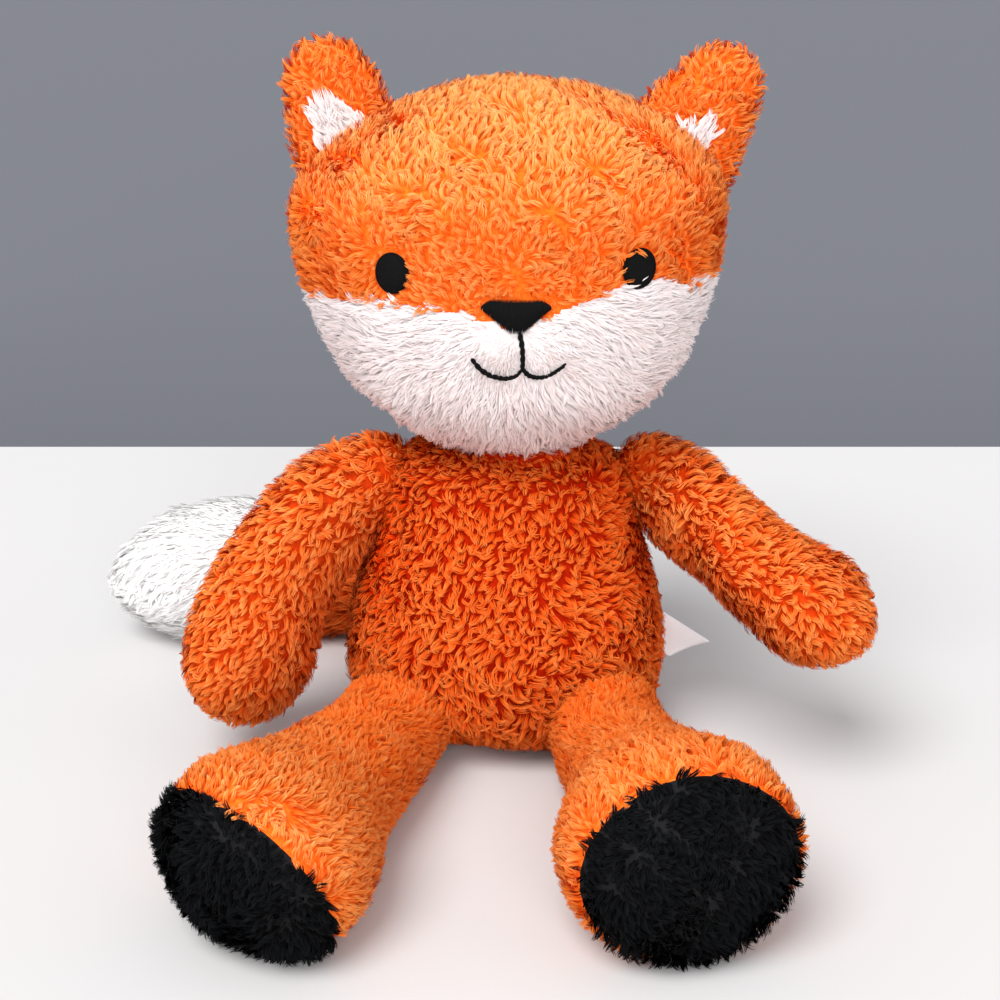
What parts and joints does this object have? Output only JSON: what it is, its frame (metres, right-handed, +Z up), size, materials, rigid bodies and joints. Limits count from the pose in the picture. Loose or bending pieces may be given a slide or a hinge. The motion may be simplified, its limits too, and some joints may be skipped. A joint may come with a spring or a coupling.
{
  "type": "plush fox toy",
  "caption": "Seated plush fox with sewn, hinging limbs, ears, tail and head, pile cloth covers over loose filling, and an embroidered face",
  "frame": {"origin": "middle of the flat that the torso sits on, on the floor", "axes": "+Z up; the fox faces -Y; +X is the fox's own left side, which is the viewer's right"},
  "size_m": [0.2409, 0.2355, 0.2091],
  "materials": {
    "orange": "orange pile cloth",
    "white": "white pile cloth",
    "black": "black pile cloth",
    "thread": "black satin stitch",
    "filling": "loose polyester fibre",
    "pellets": "cotton pouch of plastic pellets",
    "label": "bare woven tape"
  },
  "bodies": {
    "torso": {"torso_cover": "orange", "torso_filling": "filling", "seat_pellet_pouch": "pellets", "care_label": "label"},
    "neck": {"neck_filling": "filling"},
    "head": {"head_face_orange": "orange", "head_cheeks_white": "white", "head_back_orange": "orange", "head_filling": "filling", "eye_left": "thread", "eye_right": "thread", "nose": "thread", "mouth": "thread"},
    "tail": {"tail_base": "orange", "tail_tip": "white", "tail_filling": "filling"},
    "ear_left": {"ear_left_cover": "orange", "ear_left_inner": "white"},
    "arm_left": {"arm_left_cover": "orange", "arm_left_filling": "filling"},
    "leg_left": {"leg_left_cover": "orange", "leg_left_filling": "filling", "foot_left_sole": "black"},
    "ear_right": {"ear_right_cover": "orange", "ear_right_inner": "white"},
    "arm_right": {"arm_right_cover": "orange", "arm_right_filling": "filling"},
    "leg_right": {"leg_right_cover": "orange", "leg_right_filling": "filling", "foot_right_sole": "black"}
  },
  "joints": [
    {"name": "neck_turn", "type": "hinge", "parent": "torso", "child": "neck", "pos_m": [0.00484, 0, 0.093], "axis": [0, 0, 1], "range_deg": [-45, 45]},
    {"name": "neck_nod", "type": "hinge", "parent": "neck", "child": "head", "pos_m": [0.00484, 0, 0.093], "axis": [1, 0, 0], "range_deg": [-15, 15]},
    {"name": "ear_left_fold", "type": "hinge", "parent": "head", "child": "ear_left", "pos_m": [0.0504, 0.003, 0.17797], "axis": [0.6561, 0, -0.7547], "range_deg": [-15, 15], "stiffness_Nm_per_rad": 0.02},
    {"name": "shoulder_left", "type": "hinge", "parent": "torso", "child": "arm_left", "pos_m": [0.04609, 0, 0.081], "axis": [-0.6428, -0.766, 0], "range_deg": [-18, 48]},
    {"name": "hip_left", "type": "hinge", "parent": "torso", "child": "leg_left", "pos_m": [0.03, -0.02844, 0.0155], "axis": [-0.9877, -0.1564, 0], "range_deg": [-80, 20]},
    {"name": "ear_right_fold", "type": "hinge", "parent": "head", "child": "ear_right", "pos_m": [-0.0421, 0.003, 0.17797], "axis": [0.6561, 0, 0.7547], "range_deg": [-15, 15], "stiffness_Nm_per_rad": 0.02},
    {"name": "shoulder_right", "type": "hinge", "parent": "torso", "child": "arm_right", "pos_m": [-0.03766, 0, 0.081], "axis": [-0.5, 0.866, 0], "range_deg": [-2, 62]},
    {"name": "hip_right", "type": "hinge", "parent": "torso", "child": "leg_right", "pos_m": [-0.03, -0.02844, 0.0155], "axis": [-0.9563, 0.2924, 0], "range_deg": [-80, 20]},
    {"name": "tail_swing", "type": "hinge", "parent": "torso", "child": "tail", "pos_m": [-0.006, 0.04525, 0.0235], "axis": [0, 0, 1], "range_deg": [-75, 8]}
  ]
}
